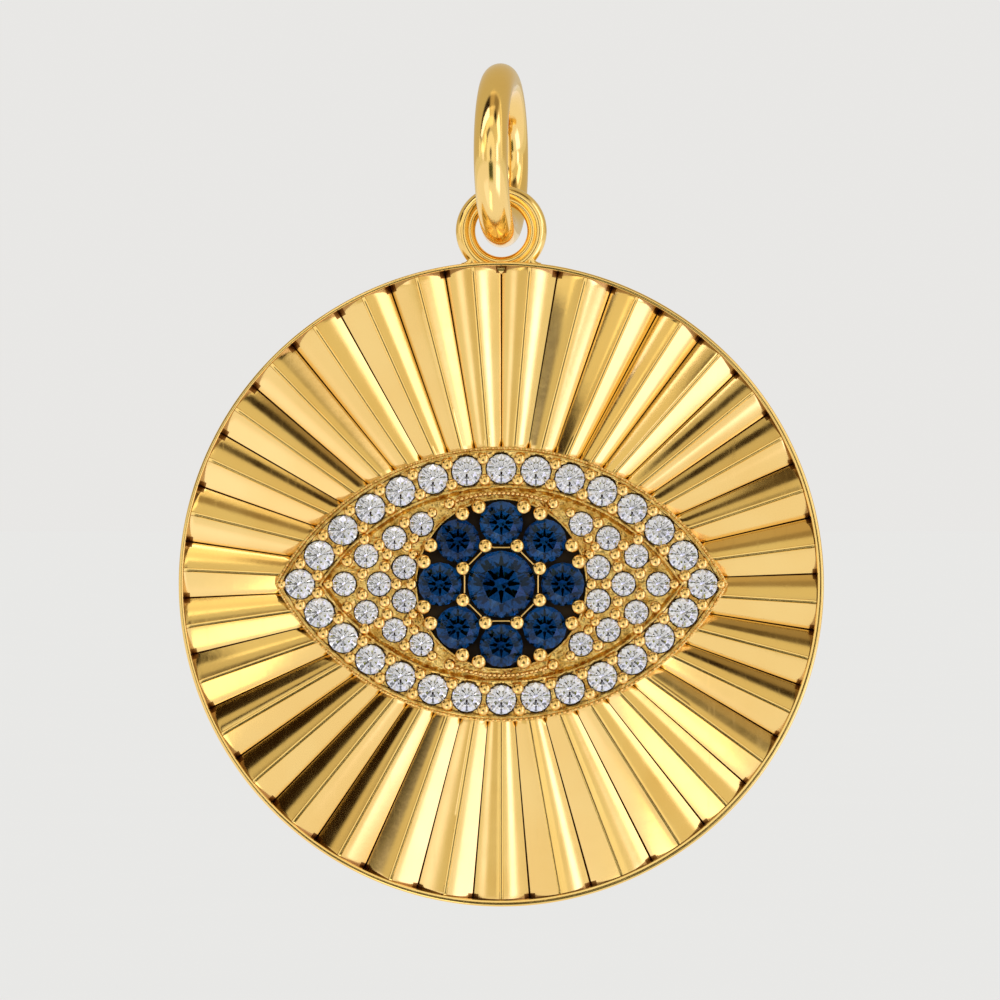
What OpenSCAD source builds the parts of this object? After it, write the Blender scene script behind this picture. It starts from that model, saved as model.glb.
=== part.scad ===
// Round medallion pendant with a pleated disc and a raised eye set with stones.
// Millimetres, +Z up. The front faces -Y. The origin is the inside top of the
// jump ring, where a chain bears. Small parts of the disc are laid out flat,
// with X to the right, Y up and Z towards the viewer, and are then stood up.

/* [Jump ring] */
// Outer diameter of the jump ring
ring_d = 6.3; // [5.8:0.1:8]
// Diameter of the jump ring's wire
wire_d = 1.15; // [0.9:0.05:1.3]
// Turn of the jump ring from edge-on, as it hangs
ring_turn = 8; // [0:1:15]

/* [Eyelet] */
// Room round the wire in the eyelet's hole
eyelet_play = 0.315; // [0.2:0.005:0.4]
// Width of the eyelet's metal from its hole to its outside
eyelet_w = 0.665; // [0.5:0.005:0.8]
// Diameter of the eyelet's outer wire
eyelet_wire_d = 0.5; // [0.4:0.02:0.6]
// Diameter of the thin wire that lines the eyelet's hole
eyelet_lining_d = 0.36; // [0.3:0.02:0.4]
// Metal between the eyelet's hole and the disc's edge
eyelet_base = 0.18; // [0.1:0.02:0.4]
// Radius of the solder fillets at the eyelet's feet
foot_r = 0.28; // [0.15:0.01:0.4]

/* [Disc] */
// Diameter of the disc
disc_d = 22; // [20:0.5:28]
// Thickness of the disc from its back to the crests of its pleats
disc_t = 1.3; // [1.2:0.05:1.8]
// Width of the plain rim round the pleats
rim_w = 0.2; // [0.15:0.05:0.5]
// Height of the rim above the crests
rim_rise = 0.03; // [0.02:0.01:0.1]
// Chamfer on the disc's two outer edges
rim_chamfer = 0.07; // [0.03:0.01:0.1]

/* [Pleats] */
// Number of pleats round the disc
pleat_count = 35; // [28:1:42]
// Depth of a valley where it meets the rim
pleat_depth = 0.45; // [0.3:0.05:0.55]
// Width of the flat line along each crest
crest_w = 0.16; // [0.1:0.02:0.24]
// Depth of the pocket at a valley's outer end, below the valley
pocket_depth = 0.14; // [0.05:0.01:0.2]
// Length of the pocket at a valley's outer end
pocket_l = 0.5; // [0.3:0.05:0.8]
// Half length of the level line that the pleats aim at
fan_focus = 0.75; // [0:0.05:1.5]
// Lean of the pleats of the right half towards the top
fan_lean = 4.4; // [0:0.1:5]

/* [Eye] */
// Distance from the iris to the middle of the row of stones above it
lid_gap = 1.06; // [1:0.02:1.4]
// Distance from the iris to the middle of the stone at the eye's tip
corner_l = 3.99; // [3.8:0.05:4.4]
// Height of the eye's band above the crests of the pleats
band_rise = 0.4; // [0.3:0.05:0.7]
// Metal outside the row of stones
band_margin = 0.25; // [0.2:0.01:0.35]
// Metal inside the row of stones
lid_margin = 0.15; // [0.1:0.01:0.25]
// Width and depth of the step along the band's outer edge
edge_step = 0.1; // [0.05:0.01:0.15]
// Depth of the eye's corners below the band
corner_drop = 0.1; // [0.05:0.01:0.2]
// Depth of the iris below the band
iris_drop = 0.55; // [0.4:0.05:0.6]

/* [Sapphires] */
// Diameter of the sapphire at the middle
centre_d = 2.3; // [2:0.05:2.6]
// Diameter of the sapphires round it
petal_d = 1.48; // [1.3:0.02:1.7]
// Number of sapphires round the middle one
petal_count = 8; // [7:1:9]
// Gap between the middle sapphire and those round it
petal_gap = 0.2; // [0.18:0.01:0.3]
// Diameter of the round prong heads that hold the sapphires
prong_d = 0.39; // [0.3:0.01:0.44]
// Width of the bars that join the inner prongs
bar_w = 0.07; // [0.05:0.01:0.1]

/* [White stones] */
// Diameter of the stones in the row round the eye
row_stone_d = 1; // [0.9:0.02:1.1]
// Smallest gap between two stones of the row
row_stone_gap = 0.17; // [0.15:0.01:0.3]
// Diameter of the stones in the eye's corners
corner_stone_d = 0.8; // [0.7:0.02:0.88]
// Diameter of the beads that hold the white stones
bead_d = 0.32; // [0.24:0.01:0.36]

/* [Hidden] */

// Roundness of exact curves, and of the small round heads
$fn = 96;
head_fn = 32;
// Overlap that joins one metal form to the next
bite = 0.05;
// Gap between a stone and the metal of its seat
seat_gap = 0.03;
// Gap between a stone and the heads that hold it
head_gap = 0.02;

gold = "#E6B450";
blue = "#1B3A8C";
white = "#F2F4F8";

// Cut of a stone, as shares of its diameter
table_share = 0.56;
crown_share = 0.15;
girdle_share = 0.03;
pavilion_share = 0.43;
// Radius of the crown's middle corners and of the pavilion's low corners, as shares of the radius
crown_corner_share = 0.78;
low_corner_share = 0.24;

ring_r = ring_d / 2 - wire_d / 2;
ring_z = wire_d / 2 - ring_r;
eyelet_z = ring_z - ring_r;
eyelet_hole_r = wire_d / 2 + eyelet_play;
disc_z = eyelet_z - eyelet_hole_r - eyelet_base - disc_d / 2;

rim_top = disc_t + rim_rise;
pleat_r = disc_d / 2 - rim_w / 2;
pan_floor = disc_t - pleat_depth - pocket_depth - bite;
core_bottom = pan_floor / 2;

// The middle of a pleat's profile, from the crest's edge to the valley.
// Columns: share of the way to the valley, share of the depth, share of the pocket
profile = [
  [0, 0, 0],
  [0.32, 0.22, 0],
  [0.64, 0.56, 0.15],
  [0.88, 0.86, 0.7],
  [1, 1, 1]
];
// Rings of the fan, as shares of its radius, out to where the pockets start
fan_inner = 0.3;
fan_middle = 0.62;
pocket_start = 1 - (pocket_l + rim_w / 2) / pleat_r;
// Angles between which the lean grows to its full value, and fades again
lean_grows = [16, 68];
lean_fades = [138, 178];

petal_ring_r = max(
  centre_d / 2 + petal_gap + petal_d / 2,
  (petal_d / 2 + seat_gap) / sin(180 / petal_count)
);
iris_r = petal_ring_r + petal_d / 2 + 2 * head_gap;
row_rise = iris_r + lid_gap;
row_half = iris_r + corner_l;
// The row's two arcs: their radius and the distance of their middles from the eye's axis
row_r = (row_half * row_half + row_rise * row_rise) / (2 * row_rise);
row_shift = row_r - row_rise;
row_angle = asin(row_half / row_r);
row_steps = floor(2 * row_angle * PI / 180 * row_r / (row_stone_d + row_stone_gap));
row_step = 2 * row_angle / row_steps;
band_out = row_stone_d / 2 + band_margin;
band_in = row_stone_d / 2 + lid_margin;

band_top = disc_t + band_rise;
corner_top = band_top - corner_drop;
iris_floor = band_top - iris_drop;
row_girdle = band_top - head_gap;
corner_girdle = corner_top - head_gap;
sapphire_girdle = band_top + head_gap;
// Height of the heads' middles above the girdle that they hold
bead_lift = 0.09;
prong_lift = 0.16;
prong_post_share = 0.56;
// Distance of the outer prongs inside the iris, as a share of their diameter
outer_prong_inset = 0.33;
// Distance of the beads at the eye's tips from their stones, as a share of their diameter
tip_bead_offset = 0.33;
// Gap between the inner prongs and the middle sapphire
prong_gap = 0.05;
prong_ring_r = centre_d / 2 + prong_d / 2 + prong_gap;
outer_prong_r = iris_r - outer_prong_inset * prong_d;
// Half the angle between the two outer prongs of a pair
prong_pair_angle = 6.3;

// Stones of one corner of the eye.
// Columns: share of the way from the iris to the tip, angle above the eye's axis
corner_stone_rows = [
  [0.134, 36.9],
  [0.274, 23.3],
  [0.458, 11.8],
  [0.6215, 0],
  [0.323, 0],
  [0.12, 9.8]
];
// Beads of one corner of the eye, with the same columns
corner_bead_rows = [
  [0.757, 0],
  [0.611, 8.5],
  [0.51, 18.2],
  [0.469, 4.3],
  [0.373, 17.7],
  [0.285, 14.7],
  [0.285, 8.5],
  [0.175, 0],
  [0.048, 0],
  [0.257, 32.4],
  [0.119, 27.7],
  [0.142, 21.8],
  [0.072, 18.7],
  [0.127, 46],
  [0.097, 57.3]
];

function polar(r, a) = [r * cos(a), r * sin(a)];
function ease(a, low, high) =
  let (s = min(1, max(0, (a - low) / (high - low)))) s * s * (3 - 2 * s);

// Place in the eye of a row of a corner's table, in one of the four quarters
function corner_point(row, side, up) =
  let (p = polar(iris_r + row[0] * corner_l, row[1])) [side * p[0], up * p[1]];

// A table's rows in all four quarters, with those on the axis only once a side
function corner_points(rows) = [
  for (row = rows, side = [-1, 1], up = [-1, 1])
    if (up > 0 || row[1] > 0) corner_point(row, side, up)
];

// Place on the upper (up = 1) or lower arc, at a share of steps and a distance outwards
function row_point(step, out, up) =
  let (a = step * row_step - row_angle)
  [(row_r + out) * sin(a), up * ((row_r + out) * cos(a) - row_shift)];

row_points = concat(
  [for (k = [0 : row_steps]) row_point(k, 0, 1)],
  [for (k = [1 : row_steps - 1]) row_point(k, 0, -1)]
);
corner_stone_points = corner_points(corner_stone_rows);
petal_points = [for (k = [0 : petal_count - 1]) polar(petal_ring_r, 90 - k * 360 / petal_count)];

// Distance of the row's beads from the row's line, so that they clear its stones
row_pitch = 2 * row_r * sin(row_step / 2);
bead_reach = row_stone_d / 2 + bead_d / 2 + head_gap;
bead_out = sqrt(bead_reach * bead_reach - row_pitch * row_pitch / 4);
row_bead_points = concat(
  [for (k = [0 : row_steps - 1], side = [-1, 1], up = [-1, 1]) row_point(k + 0.5, side * bead_out, up)],
  [for (side = [-1, 1]) [side * (row_half + row_stone_d / 2 + tip_bead_offset * bead_d), 0]]
);
inner_prong_points = [
  for (k = [0 : petal_count - 1]) polar(prong_ring_r, 90 - (k + 0.5) * 360 / petal_count)
];
outer_prong_points = [
  for (k = [0 : petal_count - 1], side = [-1, 1])
    polar(outer_prong_r, 90 - (k + 0.5) * 360 / petal_count + side * prong_pair_angle)
];

// Gap in plan between a point and the nearest stone
function nearest_gap(p) = min(concat(
  [norm(p) - centre_d / 2],
  [for (q = petal_points) norm(p - q) - petal_d / 2],
  [for (q = row_points) norm(p - q) - row_stone_d / 2],
  [for (q = corner_stone_points) norm(p - q) - corner_stone_d / 2]
));
// Radius of a head at a point, made smaller where a stone leaves less room
function head_r(p, wanted_d, lift) =
  let (gap = max(0, nearest_gap(p))) min(wanted_d / 2, sqrt(gap * gap + lift * lift) - head_gap);

// The pleats' angles, clockwise from the top, with the lean of the right half
function leaned(a) =
  a - fan_lean * (ease(a, lean_grows[0], lean_grows[1]) - ease(a, lean_fades[0], lean_fades[1]));

// Points of one ring of the fan, from the share of its radius
function fan_ring(share, pocket) =
  let (half = 180 / pleat_count, crest = crest_w / 2 / (share * pleat_r) * 180 / PI)
  [
    for (k = [0 : pleat_count - 1], side = [-1, 1])
      let (rows = [for (j = [0 : len(profile) - 1]) profile[side < 0 ? len(profile) - 1 - j : j]])
      for (row = rows)
        if (side < 0 || row[0] < 1)
          let (a = leaned((2 * k + 1) * half + side * (crest + row[0] * (half - crest))))
          [
            sin(a) * (fan_focus * (1 - share) + share * pleat_r),
            cos(a) * share * pleat_r,
            disc_t - pleat_depth * share * row[1] - pocket * row[2]
          ]
  ];

module stood_up() {
  translate([0, disc_t / 2, disc_z]) rotate([90, 0, 0]) children();
}

// Area between two arcs that meet at the eye's tips, a distance outside the row's line
module lens(out) {
  intersection_for (side = [-1, 1]) {
    translate([0, side * row_shift]) circle(r = row_r + out);
  }
}

// A round brilliant with its girdle at the origin and its table towards +Z
module brilliant(d) {
  r = d / 2;
  step = 180 / 8;
  girdle = girdle_share * d / 2;
  crown = crown_share * d;
  pavilion = pavilion_share * d;
  table_r = table_share * r;
  mid_r = crown_corner_share * r;
  low_r = low_corner_share * r;
  mid_h = crown * (r - mid_r * cos(step)) / (r - table_r);
  low_h = pavilion * (r - low_r * cos(step)) / r;
  function ring(radius, h, n, start) = [
    for (k = [0 : n - 1]) [radius * cos(start + k * 360 / n), radius * sin(start + k * 360 / n), h]
  ];
  points = concat(
    ring(table_r, girdle + crown, 8, 0),
    ring(mid_r, girdle + mid_h, 8, step),
    ring(r, girdle, 16, 0),
    ring(r, -girdle, 16, 0),
    ring(low_r, -girdle - low_h, 8, step),
    [[0, 0, -girdle - pavilion]]
  );
  function tab(k) = k % 8;
  function mid(k) = 8 + (k + 8) % 8;
  function top(k) = 16 + k % 16;
  function under(k) = 32 + k % 16;
  function low(k) = 48 + (k + 8) % 8;
  culet = 56;
  faces = concat(
    [[for (k = [7 : -1 : 0]) tab(k)]],
    [for (k = [0 : 7]) [tab(k), tab(k + 1), mid(k)]],
    [for (k = [0 : 7]) [mid(k - 1), tab(k), mid(k), top(2 * k)]],
    [for (k = [0 : 7]) [mid(k), top(2 * k + 1), top(2 * k)]],
    [for (k = [0 : 7]) [mid(k), top(2 * k + 2), top(2 * k + 1)]],
    [for (k = [0 : 15]) [top(k), top(k + 1), under(k + 1), under(k)]],
    [for (k = [0 : 7]) [under(2 * k), under(2 * k + 1), low(k)]],
    [for (k = [0 : 7]) [under(2 * k + 1), under(2 * k + 2), low(k)]],
    [for (k = [0 : 7]) [under(2 * k), low(k), culet, low(k - 1)]]
  );
  polyhedron(points = points, faces = faces);
}

// The space that is cut for a stone, open towards +Z
module seat(d) {
  r = d / 2 + seat_gap;
  low = girdle_share * d / 2 + seat_gap;
  rotate_extrude() {
    polygon([[0, -low - pavilion_share * d - seat_gap], [r, -low], [r, d], [0, d]]);
  }
}

module at(points, h) {
  for (p = points) translate([p[0], p[1], h]) children();
}

module heads(points, h, wanted_d, lift) {
  for (p = points) translate([p[0], p[1], h + lift]) sphere(r = head_r(p, wanted_d, lift), $fn = head_fn);
}

// Round heads on posts that rise from the iris floor
module prongs(points) {
  post_l = sapphire_girdle + prong_lift - iris_floor + bite;
  for (p = points) {
    r = head_r(p, prong_d, prong_lift);
    translate([p[0], p[1], sapphire_girdle + prong_lift]) sphere(r = r, $fn = head_fn);
    translate([p[0], p[1], iris_floor - bite]) {
      cylinder(r = prong_post_share * r, h = post_l, $fn = head_fn);
    }
  }
}

// Thin bars from one inner prong to the next
module bars() {
  mid = (centre_d / 2 + petal_ring_r - petal_d / 2) / 2;
  length = 2 * prong_ring_r * sin(180 / petal_count);
  for (k = [0 : petal_count - 1]) {
    rotate([0, 0, 90 - k * 360 / petal_count]) {
      translate([mid - bar_w / 2, -length / 2, sapphire_girdle - bar_w]) cube([bar_w, length, 2 * bar_w]);
    }
  }
}

// Back plate with its plain rim
module pan() {
  r = disc_d / 2;
  rotate_extrude() {
    polygon([
      [0, 0],
      [r - rim_chamfer, 0],
      [r, rim_chamfer],
      [r, rim_top - rim_chamfer],
      [r - rim_chamfer, rim_top],
      [r - rim_w, rim_top],
      [r - rim_w, pan_floor],
      [0, pan_floor]
    ]);
  }
}

// Fan of pleats that fills the pan
module fan() {
  rings = [
    fan_ring(fan_inner, 0),
    fan_ring(fan_middle, 0),
    fan_ring(pocket_start, 0),
    fan_ring(1, pocket_depth)
  ];
  n = len(rings[0]);
  last = len(rings) - 1;
  base = [for (p = rings[last]) [p[0], p[1], core_bottom]];
  points = concat([for (ring = rings, p = ring) p], base, [[0, 0, disc_t - pleat_depth * fan_inner]]);
  middle = len(points) - 1;
  function spot(ring, k) = ring * n + k % n;
  faces = concat(
    [for (k = [0 : n - 1]) [spot(0, k + 1), spot(0, k), middle]],
    [for (i = [0 : last], k = [0 : n - 1]) [spot(i, k + 1), spot(i + 1, k), spot(i, k)]],
    [for (i = [0 : last], k = [0 : n - 1]) [spot(i + 1, k + 1), spot(i + 1, k), spot(i, k + 1)]],
    [[for (k = [n - 1 : -1 : 0]) spot(last + 1, k)]]
  );
  polyhedron(points = points, faces = faces);
}

// Raised lens of the eye, before its seats are cut
module eye_body() {
  translate([0, 0, core_bottom]) {
    linear_extrude(band_top - edge_step - core_bottom) lens(band_out);
    linear_extrude(band_top - core_bottom) lens(band_out - edge_step);
  }
}

module eye_cuts() {
  translate([0, 0, corner_top]) linear_extrude(corner_drop + bite) lens(-band_in);
  translate([0, 0, iris_floor]) cylinder(r = iris_r, h = iris_drop + bite);
  at(row_points, row_girdle) seat(row_stone_d);
  at(corner_stone_points, corner_girdle) seat(corner_stone_d);
  at(petal_points, sapphire_girdle) seat(petal_d);
  translate([0, 0, sapphire_girdle]) seat(centre_d);
}

// Fixed ring on top of the disc, of two wires side by side, and its feet
module eyelet() {
  translate([0, disc_d / 2 + eyelet_base + eyelet_hole_r, disc_t / 2]) {
    rotate_extrude() {
      translate([eyelet_hole_r + eyelet_lining_d / 2, 0]) circle(d = eyelet_lining_d);
      translate([eyelet_hole_r + eyelet_w - eyelet_wire_d / 2, 0]) circle(d = eyelet_wire_d);
    }
  }
}

module foot() {
  half = eyelet_hole_r + eyelet_w / 2 + foot_r / 2;
  height = eyelet_wire_d;
  translate([0, disc_d / 2, (disc_t - height) / 2]) {
    linear_extrude(height) {
      difference() {
        translate([-half, -2 * foot_r]) square([2 * half, 3 * foot_r]);
        for (side = [-1, 1]) translate([side * half, foot_r]) circle(r = foot_r);
        translate([0, eyelet_base + eyelet_hole_r]) circle(r = eyelet_hole_r + eyelet_lining_d / 2);
      }
    }
  }
}

module medallion() {
  color(gold) stood_up() {
    difference() {
      union() {
        pan();
        fan();
        eye_body();
      }
      eye_cuts();
    }
    heads(row_bead_points, row_girdle, bead_d, bead_lift);
    heads(corner_points(corner_bead_rows), corner_girdle, bead_d, bead_lift);
    prongs(inner_prong_points);
    prongs(outer_prong_points);
    bars();
    eyelet();
    foot();
  }
}

module jump_ring() {
  color(gold) translate([0, 0, ring_z]) rotate([0, 0, -ring_turn]) rotate([0, 90, 0]) {
    rotate_extrude() translate([ring_r, 0]) circle(d = wire_d);
  }
}

module sapphire_centre() {
  color(blue) stood_up() translate([0, 0, sapphire_girdle]) brilliant(centre_d);
}

module sapphire_petal(k) {
  color(blue) stood_up() at([petal_points[k - 1]], sapphire_girdle) {
    rotate([0, 0, 90 - (k - 1) * 360 / petal_count]) brilliant(petal_d);
  }
}

module outline_stones() {
  color(white) stood_up() at(row_points, row_girdle) brilliant(row_stone_d);
}

module corner_stones() {
  color(white) stood_up() at(corner_stone_points, corner_girdle) brilliant(corner_stone_d);
}

jump_ring();
medallion();
sapphire_centre();
for (k = [1 : petal_count]) {
  sapphire_petal(k);
}
outline_stones();
corner_stones();
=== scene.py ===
"""Looks of a round medallion pendant with a pleated disc and a raised eye set with stones.

Flat parts are laid out in millimetres, with X to the right, Y up and Z towards
the viewer, and are then stood up in the frame, where the front faces -Y.
"""
import logging
import math
from dataclasses import dataclass
from enum import Enum
from functools import cache
from typing import Callable, Iterable, Sequence

import bmesh
import bpy
import numpy as np
from mathutils import Matrix, Vector, noise


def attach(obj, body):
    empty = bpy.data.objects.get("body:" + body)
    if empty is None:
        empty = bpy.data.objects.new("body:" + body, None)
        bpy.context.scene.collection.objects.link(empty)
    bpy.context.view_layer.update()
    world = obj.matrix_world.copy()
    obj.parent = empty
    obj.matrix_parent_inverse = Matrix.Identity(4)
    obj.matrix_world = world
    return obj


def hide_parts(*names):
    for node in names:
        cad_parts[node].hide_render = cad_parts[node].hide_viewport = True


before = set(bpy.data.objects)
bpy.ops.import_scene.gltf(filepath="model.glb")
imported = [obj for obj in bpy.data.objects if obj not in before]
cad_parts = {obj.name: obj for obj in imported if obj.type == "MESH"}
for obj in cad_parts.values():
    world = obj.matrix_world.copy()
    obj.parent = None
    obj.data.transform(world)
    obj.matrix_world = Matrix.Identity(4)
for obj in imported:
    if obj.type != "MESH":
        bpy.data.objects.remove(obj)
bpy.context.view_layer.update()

MM = 0.001
FULL_TURN = 2.0 * math.pi
QUARTER = math.pi / 2.0
DEGREE = math.radians(1.0)
# Heights of the disc's and the jump ring's middles, and the place of the disc's back
DISC_Z = -16.645
RING_Z = -2.0
BACK_Y = 0.65
# Radius of the disc, and height of its crests above its back
DISC_R = 11.0
DISC_T = 1.3
# From the flat layout to the frame, in metres
STAND = Matrix.Scale(MM, 4) @ Matrix.Translation((0.0, BACK_Y, DISC_Z)) @ Matrix.Rotation(QUARTER, 4, "X")
# Distance under which two points are one
MERGE = 1e-4
log = logging.getLogger("pendant")

Point = tuple[float, float]
Colour = tuple[float, float, float]
Mesh = bmesh.types.BMesh
Vert, Edge, Face = bmesh.types.BMVert, bmesh.types.BMEdge, bmesh.types.BMFace
Material = bpy.types.Material
Socket = bpy.types.NodeSocket
Sockets = bpy.types.bpy_prop_collection


class Body(Enum):
    """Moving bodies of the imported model, each with a CAD node of the same name for its metal."""

    RING = "jump_ring"
    DISC = "medallion"


class Tone(Enum):
    """Colours of light."""

    PLAIN = (1.0, 0.99, 0.97)
    WARM = (1.0, 0.8, 0.52)
    MILD = (1.0, 0.93, 0.75)
    FRESH = (1.0, 1.0, 1.4)
    CLEAR = (1.0, 1.0, 1.55)
    COOL = (1.0, 0.97, 1.95)

    def times(self, glow: float) -> Colour:
        """Return the colour at a brightness."""
        return tuple(glow * part for part in self.value)


def ease(value: float, low: float, high: float) -> float:
    """Return a smooth step from 0 at low to 1 at high."""
    s = min(1.0, max(0.0, (value - low) / (high - low)))
    return s * s * (3.0 - 2.0 * s)


def ease_array(values: np.ndarray, low: float, high: float) -> np.ndarray:
    """Return a smooth step from 0 at low to 1 at high for each value."""
    s = np.clip((values - low) / (high - low), 0.0, 1.0)
    return s * s * (3.0 - 2.0 * s)


def polar(radius: float, degrees: float) -> Point:
    """Return the point at a radius and an angle above the X axis."""
    a = math.radians(degrees)
    return radius * math.cos(a), radius * math.sin(a)


# Finishes

FLOAT = "NodeSocketFloat"
COLOUR = "NodeSocketColor"
VECTOR = "NodeSocketVector"


class Sketch:
    """Short calls to draw a tree of nodes."""

    def __init__(self, tree: bpy.types.NodeTree) -> None:
        """Keep the tree that the calls work on."""
        self.tree = tree

    def add(self, kind: str, inputs: dict[str | int, object] | None = None, **settings: object) -> Sockets:
        """Add a node.

        Args:
            kind: Type name of the node.
            inputs: Values of its input sockets, or sockets to join to them, by name or number.
            settings: Values of its own properties.

        Returns:
            Its output sockets.
        """
        node = self.tree.nodes.new(kind)
        for key, value in settings.items():
            setattr(node, key, value)
        for key, value in (inputs or {}).items():
            if isinstance(value, Socket):
                self.tree.links.new(value, node.inputs[key])
            else:
                node.inputs[key].default_value = value
        return node.outputs

    def math(self, operation: str, first: object, second: object = 0.0) -> Socket:
        """Return the result of a math node on values or sockets."""
        return self.add("ShaderNodeMath", {0: first, 1: second}, operation=operation)["Value"]

    def window(self, source: Socket, limits: Point, soft: float, unit: float = 1.0) -> Socket:
        """Add nodes that are 1 between two limits and fall softly to 0 outside them.

        Args:
            source: Socket of the value to test.
            limits: Lower and upper limit.
            soft: Width of the soft edges.
            unit: What limits and width are counted in.

        Returns:
            The socket of the result.
        """
        ends = []
        for at, first in zip(limits, (0.0, 1.0)):
            span = {"From Min": unit * (at - soft / 2.0), "From Max": unit * (at + soft / 2.0)}
            values = {"Value": source, **span, "To Min": first, "To Max": 1.0 - first}
            ends.append(self.add("ShaderNodeMapRange", values, interpolation_type="SMOOTHSTEP")["Result"])
        return self.math("MULTIPLY", *ends)

    def glow(self, mask: Socket, colour: Colour, below: Socket | Colour) -> Socket:
        """Return a colour, where a mask is 1, on top of what is below."""
        inputs = {0: mask, 1: colour, 2: below}
        return self.add("ShaderNodeVectorMath", inputs, operation="MULTIPLY_ADD")["Vector"]


def new_group(name: str, inputs: dict[str, str], outputs: dict[str, str]) -> tuple[Sketch, Sockets]:
    """Start a shader node group.

    Args:
        name: Name of the group.
        inputs: Types of the sockets that it is given, by name.
        outputs: Types of the sockets that it gives, by name.

    Returns:
        A sketch on the group's tree, and the sockets that it is given.
    """
    tree = bpy.data.node_groups.new(name, "ShaderNodeTree")
    for in_out, kinds in (("INPUT", inputs), ("OUTPUT", outputs)):
        for key, kind in kinds.items():
            tree.interface.new_socket(name=key, in_out=in_out, socket_type=kind)
    sketch = Sketch(tree)
    return sketch, sketch.add("NodeGroupInput")


@cache
def tone_group() -> bpy.types.NodeTree:
    """Make the group that drifts a colour slowly between two tones."""
    sketch, given = new_group(
        "tone_drift",
        {"Vector": VECTOR, "Scale": FLOAT, "Light": COLOUR, "Deep": COLOUR},
        {"Color": COLOUR},
    )
    clouds = {"Vector": given["Vector"], "Scale": given["Scale"], "Detail": 3.0, "Roughness": 0.55}
    cloud = sketch.add("ShaderNodeTexNoise", clouds)["Fac"]
    spread = sketch.add("ShaderNodeMapRange", {"Value": cloud, "From Min": 0.32, "From Max": 0.68})["Result"]
    mix = sketch.add("ShaderNodeMix", {0: spread, 6: given["Light"], 7: given["Deep"]}, data_type="RGBA")
    sketch.add("NodeGroupOutput", {"Color": mix[2]})
    return sketch.tree


@cache
def polish_group() -> bpy.types.NodeTree:
    """Make the group that gives a polished surface its haze, hairlines and faint waves."""
    sketch, given = new_group(
        "hand_polish",
        {"Vector": VECTOR, "Haze Scale": FLOAT, "Smooth": FLOAT, "Rough": FLOAT, "Hairlines": FLOAT},
        {"Roughness": FLOAT, "Height": FLOAT},
    )
    clouds = {"Vector": given["Vector"], "Scale": given["Haze Scale"], "Detail": 4.0, "Roughness": 0.6}
    haze = sketch.add("ShaderNodeTexNoise", clouds)["Fac"]
    span = {"From Min": 0.3, "From Max": 0.7, "To Min": given["Smooth"], "To Max": given["Rough"]}
    base = sketch.add("ShaderNodeMapRange", {"Value": haze, **span})["Result"]
    stretch = {"Vector": given["Vector"], "Rotation": (0.0, 0.6, 0.0), "Scale": (9000.0, 900.0, 420.0)}
    along = sketch.add("ShaderNodeMapping", stretch)["Vector"]
    strands = {"Vector": along, "Scale": 1.0, "Detail": 2.0, "Roughness": 0.5}
    lines = sketch.add("ShaderNodeTexNoise", strands)["Fac"]
    ridge = sketch.add("ShaderNodeMapRange", {"Value": lines, "From Min": 0.6, "From Max": 0.75})["Result"]
    rough = sketch.math("ADD", base, sketch.math("MULTIPLY", ridge, given["Hairlines"]))
    sketch.add("NodeGroupOutput", {"Roughness": rough, "Height": haze})
    return sketch.tree


@dataclass(frozen=True)
class Finish:
    """A surface whose colour drifts between two tones.

    Args:
        name: Name of the material.
        light: Lighter tone.
        deep: Deeper tone.
        tone_scale: Scale of the drift between the tones.
    """

    name: str
    light: Colour
    deep: Colour
    tone_scale: float = 260.0

    def shading(self, sketch: Sketch, place: Socket) -> dict[str, object]:
        """Return the shader's inputs apart from its colour, from a sketch and object coordinates."""
        raise NotImplementedError

    @cache
    def material(self) -> Material:
        """Return the finish as a material, made once."""
        result = bpy.data.materials.new(self.name)
        result.use_nodes = True
        result.node_tree.nodes.clear()
        sketch = Sketch(result.node_tree)
        place = sketch.add("ShaderNodeTexCoord")["Object"]
        drift = {"Scale": self.tone_scale, "Light": (*self.light, 1.0), "Deep": (*self.deep, 1.0)}
        colour = sketch.add("ShaderNodeGroup", {"Vector": place, **drift}, node_tree=tone_group())["Color"]
        shader = sketch.add("ShaderNodeBsdfPrincipled", {"Base Color": colour, **self.shading(sketch, place)})
        sketch.add("ShaderNodeOutputMaterial", {"Surface": shader["BSDF"]})
        return result


@dataclass(frozen=True)
class MetalFinish(Finish):
    """Polished metal.

    Args:
        smooth: Lowest roughness.
        rough: Highest roughness.
        haze_scale: Scale of the polish's haze.
        hairlines: Roughness that hairlines add.
        wave: Depth of the polish's faint waves, in metres.
    """

    smooth: float = 0.08
    rough: float = 0.14
    haze_scale: float = 700.0
    hairlines: float = 0.05
    wave: float = 2e-6

    def shading(self, sketch: Sketch, place: Socket) -> dict[str, object]:
        """Return the inputs of a metal with haze, hairlines and waves.

        Args:
            sketch: Sketch on the material's tree.
            place: Socket of the object coordinates.
        """
        polish = {"Haze Scale": self.haze_scale, "Smooth": self.smooth, "Rough": self.rough}
        polish |= {"Vector": place, "Hairlines": self.hairlines}
        wear = sketch.add("ShaderNodeGroup", polish, node_tree=polish_group())
        bump = sketch.add("ShaderNodeBump", {"Distance": self.wave, "Height": wear["Height"]})
        return {"Metallic": 1.0, "Roughness": wear["Roughness"], "Normal": bump["Normal"]}


@dataclass(frozen=True)
class StoneFinish(Finish):
    """Cut and polished stone.

    Args:
        ior: Index of refraction.
        shine: Tint of its surface reflection.
    """

    ior: float = 1.77
    shine: Colour = (1.0, 1.0, 1.0)

    def shading(self, sketch: Sketch, place: Socket) -> dict[str, object]:
        """Return the inputs of a clear stone, which are the same all over."""
        tint = (*self.shine, 1.0)
        return {"IOR": self.ior, "Transmission Weight": 1.0, "Roughness": 0.0, "Specular Tint": tint}


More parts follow.
